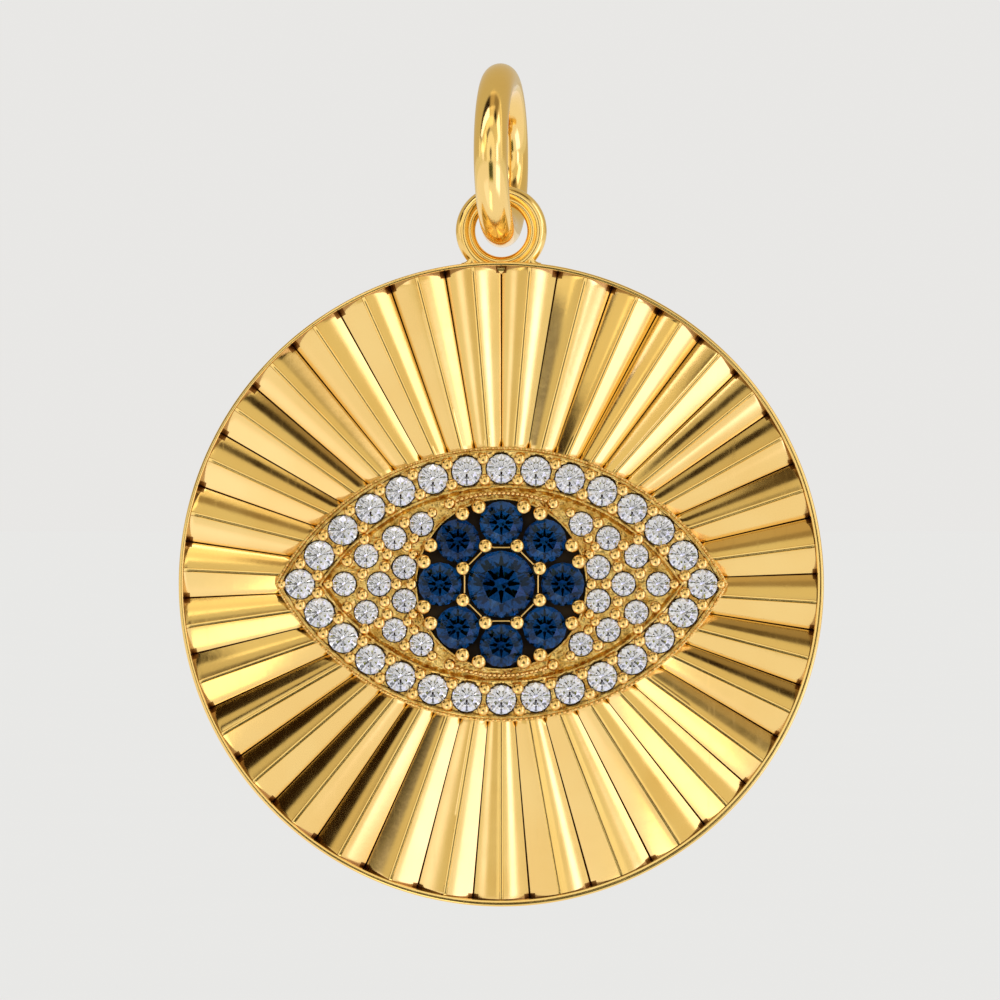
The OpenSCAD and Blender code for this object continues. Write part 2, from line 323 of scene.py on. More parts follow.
POLISHED_GOLD = MetalFinish(
    "polished_gold", (0.95, 0.67, 0.22), (0.92, 0.61, 0.18), smooth=0.1, rough=0.17, wave=4e-6
)
# Painted shade: dark gold along the pleats' valleys, at their outer ends and on the rim's inner wall, for the
# shade in those creases
PAINTED_VALLEY_SHADE = MetalFinish("painted_valley_shade", (0.36, 0.19, 0.045), (0.2, 0.09, 0.02), smooth=0.25, rough=0.4)
SETTING_GOLD = MetalFinish(
    "setting_gold", (0.88, 0.62, 0.19), (0.5, 0.26, 0.04), 3000.0, rough=0.16, haze_scale=4200.0, wave=4e-5
)
BEAD_GOLD = MetalFinish("bead_gold", (0.92, 0.61, 0.2), (0.86, 0.54, 0.15), smooth=0.05, rough=0.1)
# Painted shade: near-black metal over the iris floor, its wall and the sapphires' seats, for the shade in the
# deep recess
PAINTED_RECESS_SHADE = MetalFinish(
    "painted_recess_shade", (0.05, 0.035, 0.02), (0.02, 0.015, 0.012), 900.0, smooth=0.3, rough=0.5
)
SEAT_METAL = MetalFinish("bright_seat", (0.35, 0.35, 0.38), (0.2, 0.2, 0.22), 900.0, smooth=0.15, rough=0.3)
SAPPHIRE = StoneFinish(
    "sapphire", (0.004, 0.05, 0.17), (0.0005, 0.006, 0.04), 1200.0, ior=1.77, shine=(0.22, 0.34, 0.52)
)
WHITE_STONE = StoneFinish("white_stone", (0.97, 0.97, 0.96), (0.74, 0.75, 0.78), 1600.0, ior=2.3)


# Meshes


def pick(parts: Iterable, kind: type) -> list:
    """Return those of some points, edges and faces that are of one kind."""
    return [part for part in parts if isinstance(part, kind)]


def extrude_loop(mesh: Mesh, loop: list[Edge], place: Callable[[Vector], Sequence[float]]) -> list:
    """Extrude a loop of edges and move its new points.

    Args:
        mesh: Mesh to work on.
        loop: Edges of the loop.
        place: Gives a point's new place from its old one.

    Returns:
        The new points, edges and faces.
    """
    grown = bmesh.ops.extrude_edge_only(mesh, edges=loop)["geom"]
    for vert in pick(grown, Vert):
        vert.co = place(vert.co)
    return grown


def close_shell(mesh: Mesh) -> None:
    """Cut faces of many sides into triangles and turn all faces outwards."""
    bmesh.ops.triangulate(mesh, faces=[f for f in mesh.faces if len(f.verts) > 4])
    bmesh.ops.recalc_face_normals(mesh, faces=mesh.faces)


def spun_ring(mesh: Mesh, section: Iterable[Point], steps: int) -> None:
    """Spin a closed section about the Z axis.

    Args:
        mesh: Mesh that takes the ring.
        section: Points of the section in order, as (radius, height).
        steps: Steps of the full turn.
    """
    verts = [mesh.verts.new((r, 0.0, h)) for r, h in section]
    edges = [mesh.edges.new((a, b)) for a, b in zip(verts, verts[1:] + verts[:1])]
    bmesh.ops.spin(
        mesh, geom=verts + edges, cent=(0, 0, 0), axis=(0, 0, 1), angle=FULL_TURN, steps=steps, use_merge=True
    )
    bmesh.ops.recalc_face_normals(mesh, faces=mesh.faces)


def wire_ring(mesh: Mesh, ring_r: float, wire_r: float, sides: int, steps: int) -> None:
    """Spin a ring of round wire about the Z axis.

    Args:
        mesh: Mesh that takes the ring.
        ring_r: Radius of the ring, to the wire's middle.
        wire_r: Radius of the wire.
        sides: Points round the wire.
        steps: Steps round the ring.
    """
    turns = [k * FULL_TURN / sides for k in range(sides)]
    spun_ring(mesh, [(ring_r + wire_r * math.cos(t), wire_r * math.sin(t)) for t in turns], steps)


def add_piece(
    mesh: Mesh,
    name: str,
    sharp: float,
    finishes: Sequence[MetalFinish],
    body: Body = Body.DISC,
    stand: Matrix = STAND,
) -> None:
    """Shade a finished piece of gold, stand it up and add it.

    Args:
        mesh: Mesh as laid out, freed here.
        name: Name of the piece.
        sharp: Angle between two faces past which their edge stays sharp, in degrees.
        finishes: Finishes in the order of the faces' indices.
        body: Body that the piece moves with, whose CAD metal it stands for.
        stand: Transform from the layout to the frame, in metres.
    """
    for face in mesh.faces:
        face.smooth = True
    for edge in mesh.edges:
        if len(edge.link_faces) == 2:
            edge.smooth = edge.calc_face_angle(0.0) < math.radians(sharp)
    bmesh.ops.transform(mesh, matrix=stand, verts=mesh.verts)
    data = bpy.data.meshes.new(name)
    mesh.to_mesh(data)
    mesh.free()
    for finish in finishes:
        data.materials.append(finish.material())
    piece = bpy.data.objects.new(name, data)
    bpy.context.scene.collection.objects.link(piece)
    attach(piece, body.value)
    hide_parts(body.value)
    log.info("%s: %d faces on %s", name, len(data.polygons), body.value)


# Pieces


@dataclass(frozen=True)
class Outline:
    """The eye's outline: two arcs that meet at its tips, in the flat layout.

    Args:
        iris_r: Radius of the iris.
        lid_gap: Distance from the iris to the row of stones above it.
        corner_l: Distance from the iris to the stone at a tip.
        margin: Distance from the row's line to the outside of the eye's band.
    """

    iris_r: float = 2.87
    lid_gap: float = 1.06
    corner_l: float = 3.99
    margin: float = 0.75

    @property
    def row_half(self) -> float:
        """Half of the row's length."""
        return self.iris_r + self.corner_l

    @property
    def row_r(self) -> float:
        """Radius of the row's arcs."""
        rise = self.iris_r + self.lid_gap
        return (self.row_half ** 2 + rise ** 2) / (2.0 * rise)

    @property
    def shift(self) -> float:
        """Distance of the arcs' middles from the eye's axis."""
        return self.row_r - self.iris_r - self.lid_gap

    def outside(self, x: float, y: float) -> float:
        """Return the distance of a point outside the row's line."""
        return math.hypot(x, abs(y) + self.shift) - self.row_r

    def tip(self, out: float) -> float:
        """Return the half length of the outline at a distance outside the row's line."""
        return math.sqrt((self.row_r + out) ** 2 - self.shift ** 2)

    def height(self, x: float, out: float) -> float:
        """Return the outline's half height at x, at a distance outside the row's line."""
        return math.sqrt(max(0.0, (self.row_r + out) ** 2 - x * x)) - self.shift

    def arc_point(self, a: float, out: float, up: int) -> Point:
        """Return a place on the upper (1) or lower (-1) arc at an angle, at a distance outwards."""
        reach = self.row_r + out
        return reach * math.sin(a), up * (reach * math.cos(a) - self.shift)


# Columns of points, as shares from the foot of a crest's line to the valley
FACE_COLUMNS = (0.0, 0.1, 0.2, 0.3, 0.4, 0.5, 0.6, 0.7, 0.8, 0.9, 0.965, 1.0)
# Marks in place of a share for the columns at the line's edge and middle
LINE_EDGE = -1.0
LINE_MIDDLE = -2.0
# Width of the step down from the line
STEP_W = 0.02
# Rows of points, as distances from the fan's start and from the rim, and the steps in between
INNER_ROWS = (0.0, 0.15, 0.21, 0.27, 0.34, 0.42, 0.52)
OUTER_ROWS = (0.62, 0.52, 0.42, 0.34, 0.26, 0.18, 0.11, 0.05, 0.0)
MIDDLE_ROWS = 24
# Share of a fan line at which its angle counts for where it starts, and the first share and the steps
# of the search for that place
MIDDLE_SHARE = 0.6
SEARCH_FROM = 0.2
SEARCH_STEPS = 24
# How far the fan starts under the eye, and the height at which it is closed there
EYE_OVERLAP = 0.12
CORE_H = 0.4
# Shares past which a point lies in a valley, or near one, and the length of the painted shade at a
# valley's outer end
VALLEY = 0.99
NEAR_VALLEY = 0.85
PAINTED_END_SHADE = 0.12
# Share past which a pocket starts, and how straight a face is before its own bend
POCKET_FROM = 0.8
STRAIGHT = 0.58
# Steps and layers in the noise for a valley's depth and a face's bend, and what the noise is times
DEPTH_NOISE = (1.7, 0.3)
BEND_NOISE = (1.9, 3.3, 7.0)
NOISE_GAIN = 2.0
# Angles over which the lean sets in, over which it ends, and at which the rim is widest, in degrees
LEAN_START = (16.0, 68.0)
LEAN_END = (138.0, 178.0)
WIDE_RIM_AT = 135.0
# Width of the rim's inner wall, its soft edge as a share of the disc's rounding, and the middle of that
# edge as a share of it
RIM_WALL = 0.022
RIM_SOFT = 0.4
RIM_CUT = 0.3
# Steps of a rounded edge, distance of the back's first ring from the side in roundings, and its other
# rings as shares of the radius
EDGE_STEPS = 5
BACK_INSET = 4.0
BACK_RINGS = (0.6, 0.25)


@dataclass
class PleatedDisc:
    """The round disc with its fan of pleats, plain rim and plain back.

    Args:
        outline: Outline of the eye, where the pleats end.
        rim_w: Width of the plain rim.
        rim_rise: Height of the rim above the crests.
        rim_drift: How much wider the rim is at the lower right than on average.
        edge_round: Radius of the disc's rounded edges.
        pleats: Number of pleats.
        depth: Depth of a valley at the rim.
        ridge_w: Width of the line along each crest.
        ridge_step: Height of that line above the pleat's faces.
        ridge_bow: Height of the line's middle above its edges.
        groove: Depth of the fine groove along each valley.
        pocket: Depth of the pocket at a valley's outer end.
        pocket_l: Length of that pocket.
        inner_pocket: Depth of the pocket where a valley meets the eye.
        inner_pocket_l: Length of that pocket.
        end_drop: Drop of a pleat's rounded ends.
        end_l: Length of the rounded ends.
        focus: Half length of the level line that the pleats aim at.
        lean: Lean of the right half's pleats towards the top, in degrees.
        uneven: Largest change of a valley's depth, as a share.
        bend: Largest change of how straight a face is.
    """

    outline: Outline
    rim_w: float = 0.2
    rim_rise: float = 0.03
    rim_drift: float = 0.05
    edge_round: float = 0.07
    pleats: int = 35
    depth: float = 0.45
    ridge_w: float = 0.11
    ridge_step: float = 0.02
    ridge_bow: float = 0.01
    groove: float = 0.05
    pocket: float = 0.04
    pocket_l: float = 0.16
    inner_pocket: float = 0.06
    inner_pocket_l: float = 0.22
    end_drop: float = 0.012
    end_l: float = 0.08
    focus: float = 0.75
    lean: float = 4.4
    uneven: float = 0.12
    bend: float = 0.16

    @property
    def fan_r(self) -> float:
        """Radius at which the fan's lines are laid out."""
        return DISC_R - self.rim_w / 2.0

    def leaned(self, degrees: float) -> float:
        """Return a pleat's angle, clockwise from the top, with the right half's lean."""
        return degrees - self.lean * (ease(degrees, *LEAN_START) - ease(degrees, *LEAN_END))

    def inner_r(self, a: float) -> float:
        """Return the rim's inner radius at an angle in radians, clockwise from the top."""
        return DISC_R - self.rim_w - self.rim_drift * math.cos(a - math.radians(WIDE_RIM_AT))

    def spot(self, a: float, share: float) -> Point:
        """Return the point on a fan line at a share of its length."""
        across = self.focus * (1.0 - share) + share * self.fan_r
        return math.sin(a) * across, math.cos(a) * share * self.fan_r

    def share_at_eye(self, a: float) -> float:
        """Return the share of a fan line at which it passes under the eye's edge."""
        low, high = SEARCH_FROM, 1.0
        for _ in range(SEARCH_STEPS):
            middle = (low + high) / 2.0
            if self.outline.outside(*self.spot(a, middle)) < self.outline.margin - EYE_OVERLAP:
                low = middle
            else:
                high = middle
        return low

    def columns(self) -> list[tuple[int, int, float]]:
        """Return the fan's columns clockwise, as (pleat, side of its crest, share to the valley)."""
        half = [LINE_EDGE, *FACE_COLUMNS]
        pleat = [(-1, t) for t in reversed(half)] + [(0, LINE_MIDDLE)] + [(1, t) for t in half[:-1]]
        return [(k, side, t) for k in range(self.pleats) for side, t in pleat]

    def angle(self, k: int, side: int, t: float, share: float) -> float:
        """Return a column's angle in radians.

        Args:
            k: Number of the pleat.
            side: Side of its crest.
            t: Share of the way from the crest's line to the valley.
            share: Share of the fan line, which sets how wide the crest's line looks.
        """
        half = math.pi / self.pleats
        edge = self.ridge_w / 2.0 / (share * self.fan_r)
        foot = edge + STEP_W / (share * self.fan_r)
        if t == LINE_MIDDLE:
            away = 0.0
        elif t == LINE_EDGE:
            away = edge
        else:
            away = foot + t * (half - foot)
        return math.radians(self.leaned(math.degrees((2 * k + 1) * half + side * away)))

    def hand(self, k: int, side: int) -> Point:
        """Return the share of full depth of a face's valley, and how straight the face is."""
        valley = (k + (side > 0)) % self.pleats
        step, layer = DEPTH_NOISE
        deeper = NOISE_GAIN * noise.noise(Vector((valley * step, layer, 0.0)))
        step, across, layer = BEND_NOISE
        bent = NOISE_GAIN * noise.noise(Vector((k * step, side * across, layer)))
        return 1.0 + self.uneven * deeper, STRAIGHT + self.bend * bent

    def drop(self, hand: Point, t: float, share: float, to_rim: float, to_eye: float) -> float:
        """Return how far the front lies below the crests.

        Args:
            hand: Share of full depth of the face's valley, and how straight the face is.
            t: Share of the way from the crest's line to the valley.
            share: Share of the fan line.
            to_rim: Distance to the rim.
            to_eye: Distance to the eye's edge.
        """
        ends = max(0.0, 1.0 - to_rim / self.end_l) ** 2 + max(0.0, 1.0 - to_eye / self.end_l) ** 2
        rounded = self.end_drop * ends
        if t < 0.0:
            return rounded + (self.ridge_bow if t == LINE_EDGE else 0.0)
        deeper, straight = hand
        deep = deeper * self.depth * share * (straight * t + (1.0 - straight) * t * t)
        near = ease(t, POCKET_FROM, 1.0)
        hole = self.pocket * near * ease(1.0 - to_rim / self.pocket_l, 0.0, 1.0)
        hole += self.inner_pocket * near * ease(1.0 - to_eye / self.inner_pocket_l, 0.0, 1.0)
        fine = self.groove if t > VALLEY else 0.0
        return self.ridge_bow + self.ridge_step + deep + hole + rounded + fine

    def rows(self, length: float) -> list[float]:
        """Return the rows' distances from the fan's start along a fan line of a length."""
        first = INNER_ROWS[-1]
        last = length - OUTER_ROWS[0]
        middle = [first + (last - first) * k / MIDDLE_ROWS for k in range(1, MIDDLE_ROWS)]
        return [*INNER_ROWS, *middle, *(length - d for d in OUTER_ROWS)]

    def lay_fan(self, mesh: Mesh) -> None:
        """Lay the pleats out as a bent grid, from under the eye's edge to the rim.

        Args:
            mesh: Mesh that takes it.
        """
        columns = self.columns()
        across = len(columns)
        along = len(INNER_ROWS) + MIDDLE_ROWS - 1 + len(OUTER_ROWS) - 1
        bmesh.ops.create_grid(mesh, x_segments=across, y_segments=along, size=1.0)
        lines = []
        for k, side, t in columns:
            start = self.share_at_eye(self.angle(k, side, t, MIDDLE_SHARE))
            rows = self.rows((1.0 - start) * self.fan_r - self.rim_w / 2.0)
            lines.append((start, rows, self.hand(k, side)))
        for vert in mesh.verts:
            column = round((vert.co.x + 1.0) / 2.0 * across) % across
            row = round((vert.co.y + 1.0) / 2.0 * along)
            k, side, t = columns[column]
            start, rows, hand = lines[column]
            share = start + rows[row] / self.fan_r
            x, y = self.spot(self.angle(k, side, t, share), share)
            if row == along:
                turn = math.atan2(x, y)
                x, y = self.inner_r(turn) * math.sin(turn), self.inner_r(turn) * math.cos(turn)
            to_rim = rows[-1] - rows[row]
            to_eye = max(0.0, rows[row] - EYE_OVERLAP)
            vert.co = (x, y, DISC_T - self.drop(hand, t, share, to_rim, to_eye))
            # Points in a valley, and near one close to the rim, carry the painted valley shade
            vert.tag = t > VALLEY or (t > NEAR_VALLEY and to_rim < PAINTED_END_SHADE)
        for face in mesh.faces:
            face.material_index = int(any(vert.tag for vert in face.verts))
        bmesh.ops.remove_doubles(mesh, verts=mesh.verts, dist=MERGE)

    def edge_loop(self, mesh: Mesh, outer: bool) -> list[Edge]:
        """Return the open edges at the rim (outer) or at the eye."""
        limit = DISC_R - 3.0 * self.rim_w
        return [e for e in mesh.edges if e.is_boundary and (e.verts[0].co.xy.length > limit) == outer]

    def rim_point(self, co: Vector, reach: float, h: float, inside: bool) -> tuple[float, float, float]:
        """Return a point's next place on the way over the rim.

        Args:
            co: Its last place.
            reach: Its next distance from the rim's inner edge, or else from the disc's middle.
            h: Its next height.
            inside: Whether the reach counts from the rim's inner edge.
        """
        turn = math.atan2(co.x, co.y)
        wide = self.inner_r(turn) + reach if inside else reach
        return wide * math.sin(turn), wide * math.cos(turn), h

    def draw_rim(self, mesh: Mesh) -> None:
        """Draw the rim, the side and the back from the fan's outer edge.

        Args:
            mesh: Mesh to work on.
        """
        top = DISC_T + self.rim_rise
        r = self.edge_round
        soft, cut = r * RIM_SOFT, r * RIM_SOFT * RIM_CUT
        arc = [QUARTER * k / EDGE_STEPS for k in range(EDGE_STEPS + 1)]
        inner = [(RIM_WALL, top - soft), (RIM_WALL + cut, top - cut), (RIM_WALL + soft, top)]
        outer = [(DISC_R - r + r * math.sin(a), top - r + r * math.cos(a)) for a in arc]
        outer += [(DISC_R - r + r * math.cos(a), r - r * math.sin(a)) for a in arc]
        outer += [(DISC_R - BACK_INSET * r, 0.0)] + [(DISC_R * share, 0.0) for share in BACK_RINGS]
        loop = self.edge_loop(mesh, True)
        for step, (reach, h) in enumerate(inner + outer):
            inside = step < len(inner)
            grown = extrude_loop(mesh, loop, lambda co: self.rim_point(co, reach, h, inside))
            # The rim's first step, its inner wall, takes the painted valley shade as a dark line round the
            # pleats
            for face in pick(grown, Face):
                face.material_index = int(step == 0)
            loop = pick(grown, Edge)
        bmesh.ops.edgeloop_fill(mesh, edges=loop)

    def build(self) -> None:
        """Build and dress the disc, which is closed under the eye too."""
        mesh = bmesh.new()
        self.lay_fan(mesh)
        core = extrude_loop(mesh, self.edge_loop(mesh, False), lambda co: (co.x, co.y, CORE_H))
        bmesh.ops.edgeloop_fill(mesh, edges=pick(core, Edge))
        self.draw_rim(mesh)
        close_shell(mesh)
        add_piece(mesh, "pleated_disc", 24.0, [POLISHED_GOLD, PAINTED_VALLEY_SHADE])


@dataclass(frozen=True)
class StoneSeat:
    """A stone's place in the eye.

    Args:
        x: Place along the eye.
        y: Place above the eye's axis.
        radius: Radius of the stone.
        girdle: Height of its girdle above the disc's back.
    """

    x: float
    y: float
    radius: float
    girdle: float


# Gap that a head keeps from the stones, and distance of the girdles above or below the band's top
HEAD_GAP = 0.02
# Seats: their gap, the width of their wall, their drop below the girdle for white stones and for
# sapphires, and their slope
SEAT_GAP = 0.03
SEAT_WALL = 0.06
SEAT_DROP = 0.05
SAPPHIRE_DROP = 0.06
PAVILION_SLOPE = 0.86
# Width of the wall between band and corners, the raised lines on both sides of the row with their
# walls, and the depth of the plate beside them
CORNER_WALL = 0.07
RIDGE_AT = 0.6
RIDGE_WALL = (0.03, 0.09)
HOLLOW = 0.07
# Fine groove past the band's inner edge: its distance from there, its width and its depth
LINE_AT = 0.06
LINE_W = 0.03
LINE_DEPTH = 0.05
# Scale of the tool marks, their layer in the noise, and how far metal may rise above the band
MARK_SCALE = 7.0
MARK_LAYER = 3.0
HEAD_ROOM = 0.03
# Drop of the collar round the iris below the band's top, and the limits of the wall outside it and of
# the iris's wall, as distances from the iris's edge
COLLAR = 0.1
COLLAR_WALL = (0.06, 0.16)
IRIS_WALL = (0.01, 0.06)
# Heights of the beads' and the prongs' heads above the girdles, and their flattened form
BEAD_LIFT = 0.09
PRONG_LIFT = 0.16
FLATTEN = Matrix.Diagonal((1.2, 1.2, 0.78, 1.0))
# Cells of the plate along and across the eye
GRID = (360, 208)
# Softness of the plate's stepped edge, height of its foot, and how close to the eye's axis a point of
# the edge is at a tip
EDGE_SOFT = 0.02
EDGE_FOOT = 0.5
AT_TIP = 1e-3
# Depth below the iris floor past which a face is the plate's foot, and reach of the iris's painted shade
# past its edge
SIDE_DEPTH = 0.4
RECESS_SHADE_REACH = 0.02
# Section of the lip as (distance outside the iris, height from its top), the height of its top above
# the corners, and its steps
LIP = ((0.0, -0.02), (0.006, -0.006), (0.02, 0.0), (0.05, 0.0), (0.064, -0.006), (0.07, -0.02))
LIP_RISE = 0.02
LIP_STEPS = 192
# Depth of lip and prongs in the iris floor
SUNK = 0.1
# Prongs: gap of the inner ones, shift of the outer ones from the iris's edge in diameters of a head, and
# radii of their lower and upper ends as shares of the head's
INNER_GAP = 0.05
OUTER_SHIFT = 0.33
TAPER = (0.62, 0.5)
# Distance of the bead at a tip from the stone's edge, as a share of its diameter
TIP_SHIFT = 0.33
# Heights of the grains' middles above the ledge and above the band
LEDGE_GRAIN_LIFT = 0.01
GRAIN_LIFT = 0.02
# Arc of the grains above the iris: its radius, its top above the iris's middle, and half its width
GRAIN_ARC = (4.6, 3.1, 1.5)
# Places in a corner, as (share of the corner's length past the iris, degrees above the axis)
CORNER_STONES = (
    (0.134, 36.9), (0.274, 23.3), (0.458, 11.8), (0.6215, 0.0), (0.323, 0.0), (0.12, 9.8),
)
CORNER_BEADS = (
    (0.757, 0.0), (0.611, 8.5), (0.51, 18.2), (0.469, 4.3), (0.373, 17.7), (0.285, 14.7), (0.285, 8.5),
    (0.175, 0.0), (0.048, 0.0), (0.257, 32.4), (0.119, 27.7), (0.142, 21.8), (0.072, 18.7), (0.127, 46.0),
    (0.097, 57.3),
)


@dataclass
class EyeSetting:
    """The raised eye: its plate, the beads and prongs that hold the stones, and fine lines.

    Args:
        outline: Outline of the eye.
        band_top: Height of the band.
        corner_drop: Depth of the corners below the band.
        floor_h: Height of the iris floor.
        centre_d: Diameter of the middle sapphire.
        petal_d: Diameter of the sapphires round it.
        petal_count: Number of them.
        petal_ring_r: Radius of their ring.
        row_stone_d: Diameter of the stones in the row.
        row_steps: Steps of the row from tip to tip.
        corner_stone_d: Diameter of the stones in the corners.
        bead_d: Diameter of the beads.
        prong_d: Diameter of the prong heads.
        pair_turn: Turn of the outer prongs of a pair from their middle, in degrees.
        bar_r: Radius of the bars between the inner prongs.
        edge_step: Width and depth of the step along the outer edge.
        field_gap: Width of the band inside the row's stones.
        bead_rise: Height of the metal drawn up round a bead.
        bead_spread: Reach of that metal.
        ripple: Height of the plate's tool marks.
        grain_r: Radius of the grains above and below the iris.
        grain_pitch: Distance between them.
        ledge_grain_r: Radius of the grains along the outer step.
        ledge_grain_pitch: Distance between them.
    """

    outline: Outline
    band_top: float = 1.7
    corner_drop: float = 0.1
    floor_h: float = 1.05
    centre_d: float = 2.3
    petal_d: float = 1.48
    petal_count: int = 8
    petal_ring_r: float = 2.09
    row_stone_d: float = 1.0
    row_steps: int = 14
    corner_stone_d: float = 0.8
    bead_d: float = 0.34
    prong_d: float = 0.42
    pair_turn: float = 6.3
    bar_r: float = 0.035
    edge_step: float = 0.1
    field_gap: float = 0.13
    bead_rise: float = 0.09
    bead_spread: float = 0.14
    ripple: float = 0.045
    grain_r: float = 0.075
    grain_pitch: float = 0.16
    ledge_grain_r: float = 0.055
    ledge_grain_pitch: float = 0.19

    @property
    def sapphire_girdle(self) -> float:
        """Height of the sapphires' girdles."""
        return self.band_top + HEAD_GAP

    @property
    def row_girdle(self) -> float:
        """Height of the girdles of the row's stones."""
        return self.band_top - HEAD_GAP

    @property
    def row_step(self) -> float:
        """Angle of one step of the row, in degrees."""
        return 2.0 * math.degrees(math.asin(self.outline.row_half / self.outline.row_r)) / self.row_steps

    def row_point(self, step: float, out: float, up: int) -> Point:
        """Return a place along the upper (1) or lower (-1) row, at a distance outwards."""
        a = math.radians(step * self.row_step - self.row_step * self.row_steps / 2.0)
        return self.outline.arc_point(a, out, up)

    def corner_points(self, rows: Iterable[Point]) -> list[Point]:
        """Return a corner table's places in all four quarters of the eye."""
        result = []
        for reach, degrees in rows:
            x, y = polar(self.outline.iris_r + reach * self.outline.corner_l, degrees)
            result += [(side * x, up * y) for side in (-1, 1) for up in ((-1, 1) if degrees > 0.0 else (1,))]
        return result

    def round_iris(self, radius: float, steps: float = 0.0, turn: float = 0.0) -> list[Point]:
        """Return a place for each outer sapphire, clockwise round the middle from the top.

        Args:
            radius: Distance from the middle.
            steps: Steps past the sapphire, so that 0.5 lies between it and the next.
            turn: Turn back from there, in degrees.
        """
        part = 360.0 / self.petal_count
        return [polar(radius, 90.0 - (k + steps) * part + turn) for k in range(self.petal_count)]

    def white_seats(self) -> list[StoneSeat]:
        """Return the seats of the row's and the corners' stones."""
        places = [self.row_point(k, 0.0, 1) for k in range(self.row_steps + 1)]
        places += [self.row_point(k, 0.0, -1) for k in range(1, self.row_steps)]
        seats = [StoneSeat(x, y, self.row_stone_d / 2.0, self.row_girdle) for x, y in places]
        low = self.row_girdle - self.corner_drop
        corners = self.corner_points(CORNER_STONES)
        return seats + [StoneSeat(x, y, self.corner_stone_d / 2.0, low) for x, y in corners]

    def sapphire_seats(self) -> list[StoneSeat]:
        """Return the seats of the sapphires."""
        h = self.sapphire_girdle
        petals = [StoneSeat(x, y, self.petal_d / 2.0, h) for x, y in self.round_iris(self.petal_ring_r)]
        return [StoneSeat(0.0, 0.0, self.centre_d / 2.0, h), *petals]

    def row_beads(self) -> list[Point]:
        """Return the places of the beads along the row."""
        pitch = 2.0 * self.outline.row_r * math.sin(math.radians(self.row_step / 2.0))
        reach = self.row_stone_d / 2.0 + self.bead_d / 2.0 + HEAD_GAP
        out = math.sqrt(reach * reach - pitch * pitch / 4.0)
        sides = [(s * out, up) for s in (-1, 1) for up in (-1, 1)]
        places = [self.row_point(k + 0.5, far, up) for k in range(self.row_steps) for far, up in sides]
        tip = self.outline.row_half + self.row_stone_d / 2.0 + self.bead_d * TIP_SHIFT
        return places + [(-tip, 0.0), (tip, 0.0)]

    def surface(self, x: np.ndarray, y: np.ndarray) -> np.ndarray:
        """Return the plate's height at each point of the eye.

        Args:
            x: Places along the eye.
            y: Places above the eye's axis.
        """
        iris_r = self.outline.iris_r
        out = np.hypot(x, np.abs(y) + self.outline.shift) - self.outline.row_r
        band_in = self.row_stone_d / 2.0 + self.field_gap
        h = self.band_top - self.corner_drop * ease_array(-out, band_in, band_in + CORNER_WALL)
        h -= HOLLOW * ease_array(np.abs(np.abs(out) - RIDGE_AT), *RIDGE_WALL)
        h -= LINE_DEPTH * np.exp(-(((out + band_in + LINE_AT) / LINE_W) ** 2))
        for bx, by in self.row_beads() + self.corner_points(CORNER_BEADS):
            h += self.bead_rise * np.exp(-(((x - bx) ** 2 + (y - by) ** 2) / self.bead_spread ** 2))
        places = zip(MARK_SCALE * x, MARK_SCALE * y)
        marks = np.array([noise.noise(Vector((*place, MARK_LAYER))) for place in places])
        h = np.minimum(h + self.ripple * marks, self.band_top + HEAD_ROOM)
        for seat in self.white_seats():
            r = np.hypot(x - seat.x, y - seat.y)
            edge = seat.radius + SEAT_GAP
            cone = seat.girdle - SEAT_DROP - PAVILION_SLOPE * np.maximum(0.0, edge - r)
            wall = ease_array(r, edge, edge + SEAT_WALL)
            h = np.where(r < edge + SEAT_WALL, cone + (h - cone) * wall, h)
        from_middle = np.hypot(x, y)
        collar = 1.0 - ease_array(from_middle - iris_r, *COLLAR_WALL)
        h = np.minimum(h, self.band_top - COLLAR * collar)
        floor = np.full_like(h, self.floor_h)
        for seat in self.sapphire_seats():
            r = np.hypot(x - seat.x, y - seat.y)
            edge = seat.radius + SEAT_GAP
            cone = seat.girdle - SAPPHIRE_DROP - PAVILION_SLOPE * (edge - r)
            floor = np.where(r < edge, np.minimum(floor, cone), floor)
        wall = ease_array(from_middle - iris_r, *IRIS_WALL)
        return floor + (h - floor) * wall

    def lay_plate(self, mesh: Mesh) -> None:
        """Lay the plate out as a grid bent to the eye's outline.

        Args:
            mesh: Mesh that takes it.
        """
        out = self.outline.margin - self.edge_step - EDGE_SOFT
        bmesh.ops.create_grid(mesh, x_segments=GRID[0], y_segments=GRID[1], size=1.0)
        tip = self.outline.tip(out)
        for vert in mesh.verts:
            x = tip * vert.co.x
            vert.co = (x, vert.co.y * max(0.0, self.outline.height(x, out)), 0.0)
        flat = np.array([vert.co.xy for vert in mesh.verts])
        for vert, h in zip(mesh.verts, self.surface(flat[:, 0], flat[:, 1])):
            vert.co.z = h
        bmesh.ops.remove_doubles(mesh, verts=mesh.verts, dist=MERGE)

    def edge_point(self, co: Vector, out: float, h: float) -> tuple[float, float, float]:
        """Return a point's next place on the way over the stepped edge.

        Args:
            co: Its last place.
            out: Its next distance outside the row's line.
            h: Its next height.
        """
        if abs(co.y) < AT_TIP:
            return math.copysign(self.outline.tip(out), co.x), 0.0, h
        way = Vector((co.x, abs(co.y) + self.outline.shift)).normalized() * (self.outline.row_r + out)
        return way.x, math.copysign(max(0.0, way.y - self.outline.shift), co.y), h

    def draw_edge(self, mesh: Mesh) -> None:
        """Draw the stepped outer edge down into the disc.

        Args:
            mesh: Mesh to work on.
        """
        outer, top = self.outline.margin, self.band_top
        inner, ledge = outer - self.edge_step, top - self.edge_step
        profile = [
            (inner, top - EDGE_SOFT), (inner + 0.005, top - self.edge_step * 0.8), (inner + EDGE_SOFT, ledge),
            (outer - EDGE_SOFT, ledge), (outer - 0.003, ledge - 0.01), (outer, ledge - 0.03),
            (outer, EDGE_FOOT),
        ]
        loop = [edge for edge in mesh.edges if edge.is_boundary]
        for out, h in profile:
            loop = pick(extrude_loop(mesh, loop, lambda co: self.edge_point(co, out, h)), Edge)
        bmesh.ops.edgeloop_fill(mesh, edges=loop)

